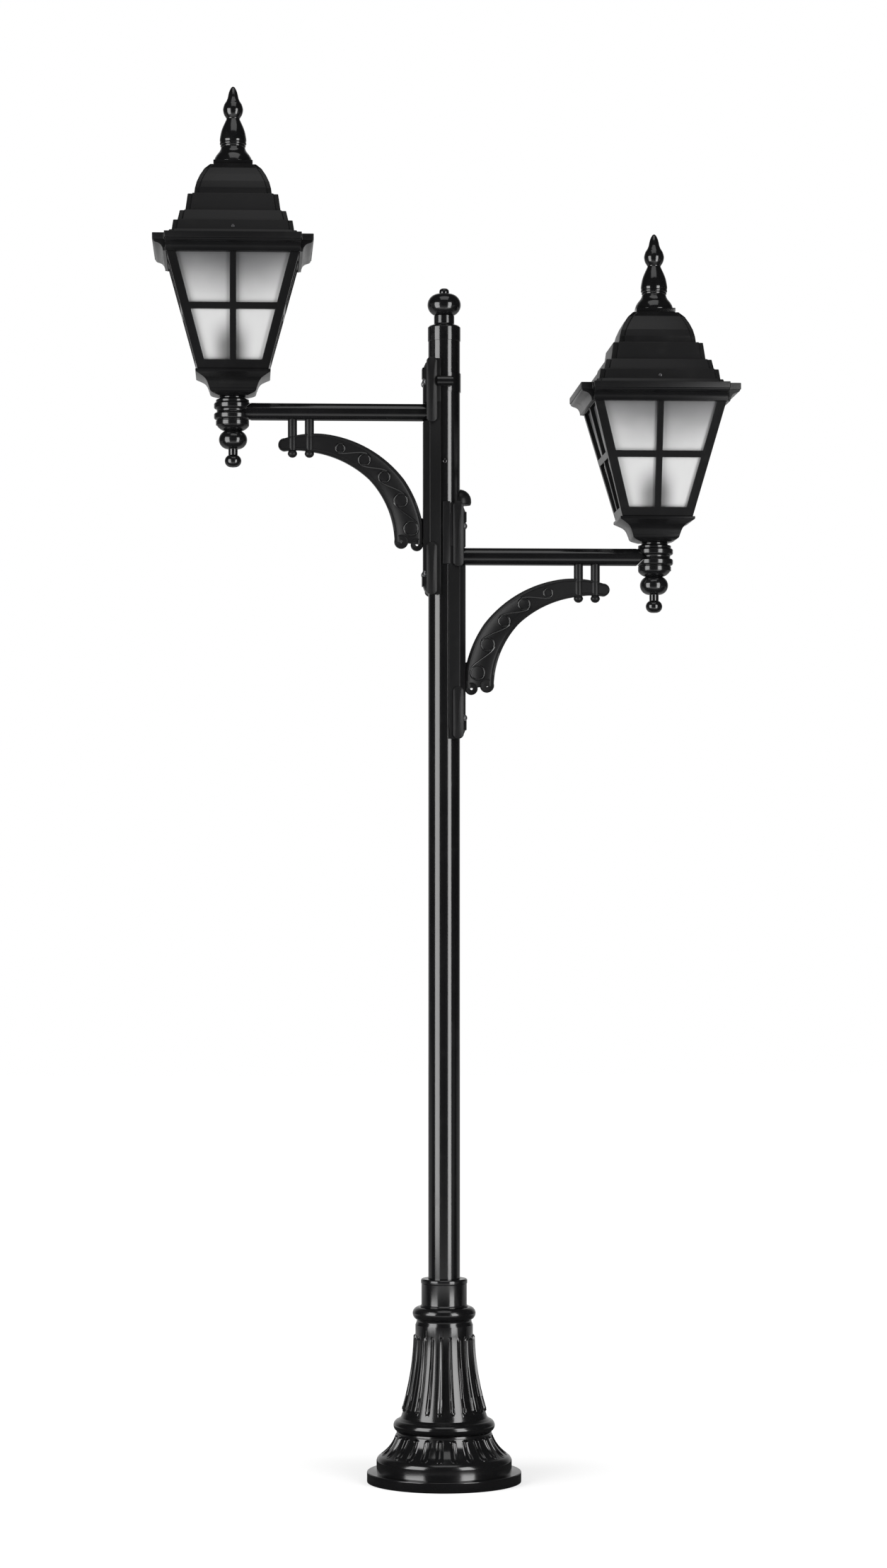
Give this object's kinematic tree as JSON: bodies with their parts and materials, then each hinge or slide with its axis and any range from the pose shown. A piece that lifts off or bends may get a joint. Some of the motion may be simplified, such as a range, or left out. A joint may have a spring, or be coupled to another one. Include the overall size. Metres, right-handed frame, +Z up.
{
  "type": "garden lamp post",
  "caption": "Free-standing garden lamp post: fluted pedestal, round pole with ball cap, staggered arms with curved braces, tapered four-sided lanterns with hinged roofs.",
  "frame": {"origin": "on the pole's axis at the ground, in the plane of the ground flange's underside", "axes": "+Z up along the pole, +X towards the lower lantern, -X towards the upper lantern, +Y towards the roofs' hinges (the back)"},
  "size_m": [1.098, 0.314, 2.635],
  "materials": {
    "black_gloss": "glossy black powder coat on steel tube and turned parts",
    "black_casting": "glossy black powder coat on castings",
    "black_roof": "satin black coat",
    "screw": "black coated steel, rubbed bright on the crown",
    "steel": "zinc plated",
    "frosted": "frosted",
    "gasket": "soft matte",
    "holder": "matte",
    "bulb": "white frosted",
    "white_plastic": "matte",
    "cable": "matte sheath"
  },
  "bodies": {
    "post": {"ground_flange": "steel", "pole": "black_gloss", "pedestal_foot": "black_casting", "pedestal_bell": "black_casting", "pole_collar": "black_gloss", "collar_screws": "steel", "pole_cap": "black_gloss", "cap_ball": "black_gloss", "terminal_block": "white_plastic", "terminal_screw": "black_gloss", "supply_cable": "cable", "upper_lamp_cable": "cable", "upper_wall_rail": "black_casting", "upper_rail_screws": "screw", "upper_clamp_band": "black_gloss", "upper_clamp_bolt": "black_gloss", "upper_arm_tube": "black_gloss", "upper_curved_brace": "black_casting", "upper_brace_pins": "black_gloss", "upper_lantern_socket": "black_gloss", "upper_pendant": "black_gloss", "upper_lantern_tray": "black_casting", "upper_front_frame": "black_casting", "upper_right_frame": "black_casting", "upper_back_frame": "black_casting", "upper_left_frame": "black_casting", "upper_panes": "frosted", "upper_top_ring": "black_casting", "upper_gasket": "gasket", "upper_hinge_pin": "steel", "upper_lamp_holder": "holder", "lower_lamp_cable": "cable", "lower_wall_rail": "black_casting", "lower_rail_screws": "screw", "lower_clamp_band": "black_gloss", "lower_clamp_bolt": "black_gloss", "lower_arm_tube": "black_gloss", "lower_curved_brace": "black_casting", "lower_brace_pins": "black_gloss", "lower_lantern_socket": "black_gloss", "lower_pendant": "black_gloss", "lower_lantern_tray": "black_casting", "lower_front_frame": "black_casting", "lower_right_frame": "black_casting", "lower_back_frame": "black_casting", "lower_left_frame": "black_casting", "lower_panes": "frosted", "lower_top_ring": "black_casting", "lower_gasket": "gasket", "lower_hinge_pin": "steel", "lower_lamp_holder": "holder"},
    "upper_roof_lid": {"upper_roof": "black_roof", "upper_roof_screw": "screw", "upper_roof_finial": "black_gloss"},
    "upper_lamp": {"upper_bulb": "bulb"},
    "lower_roof_lid": {"lower_roof": "black_roof", "lower_roof_screw": "screw", "lower_roof_finial": "black_gloss"},
    "lower_lamp": {"lower_bulb": "bulb"}
  },
  "joints": [
    {"name": "upper_roof_hinge", "type": "hinge", "parent": "post", "child": "upper_roof_lid", "pos_m": [-0.399, 0.158, 2.333], "axis": [-1, 0, 0], "range_deg": [0, 100]},
    {"name": "upper_bulb_unscrew", "type": "slide", "parent": "post", "child": "upper_lamp", "axis": [0, 0, 1], "range_m": [0, 0.025]},
    {"name": "lower_roof_hinge", "type": "hinge", "parent": "post", "child": "lower_roof_lid", "pos_m": [0.399, 0.158, 2.061], "axis": [-1, 0, 0], "range_deg": [0, 100]},
    {"name": "lower_bulb_unscrew", "type": "slide", "parent": "post", "child": "lower_lamp", "axis": [0, 0, 1], "range_m": [0, 0.025]}
  ]
}
